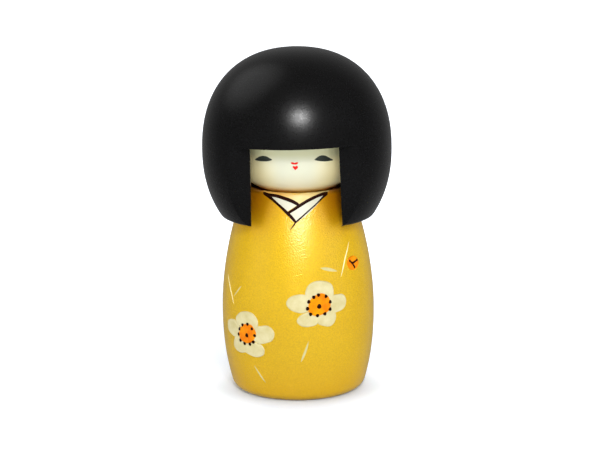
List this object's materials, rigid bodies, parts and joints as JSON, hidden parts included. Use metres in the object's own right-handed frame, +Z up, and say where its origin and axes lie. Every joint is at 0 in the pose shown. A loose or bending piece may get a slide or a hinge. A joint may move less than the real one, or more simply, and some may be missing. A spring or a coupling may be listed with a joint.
{
  "type": "kokeshi doll",
  "caption": "Turned wooden kokeshi doll with a barrel body, a bobbed head that turns on a neck peg, a painted face and painted blossoms.",
  "frame": {"origin": "centre of the flat underside of the body, on the surface the doll stands on", "axes": "+Z up along the turning axis, the doll faces -Y, +X towards the doll's left hand side"},
  "size_m": [0.0712, 0.071, 0.13],
  "materials": {
    "body_lacquer": "metallic gold lacquer over turned wood, satin, darkened at the shoulders",
    "hair_lacquer": "satin black lacquer over turned wood",
    "face_paint": "smooth cream paint, satin, on turned wood",
    "bare_wood": "bare hardwood dowel, matte",
    "blossom_cream": "thick cream paint in relief, satin",
    "blossom_orange": "orange paint, satin",
    "line_brown": "dark brown paint line, glossy",
    "collar_white": "white paint, satin",
    "skin_peach": "pale peach paint, satin",
    "eye_grey": "dark grey-green paint, satin",
    "lip_red": "red paint, satin"
  },
  "bodies": {
    "torso": {"body": "body_lacquer", "neck_peg": "bare_wood"},
    "head": {"face": "face_paint", "hair": "hair_lacquer"}
  },
  "joints": [
    {"name": "head_turn", "type": "hinge", "parent": "torso", "child": "head", "pos_m": [0, 0, 0.0771], "axis": [0, 0, 1], "continuous": true}
  ]
}
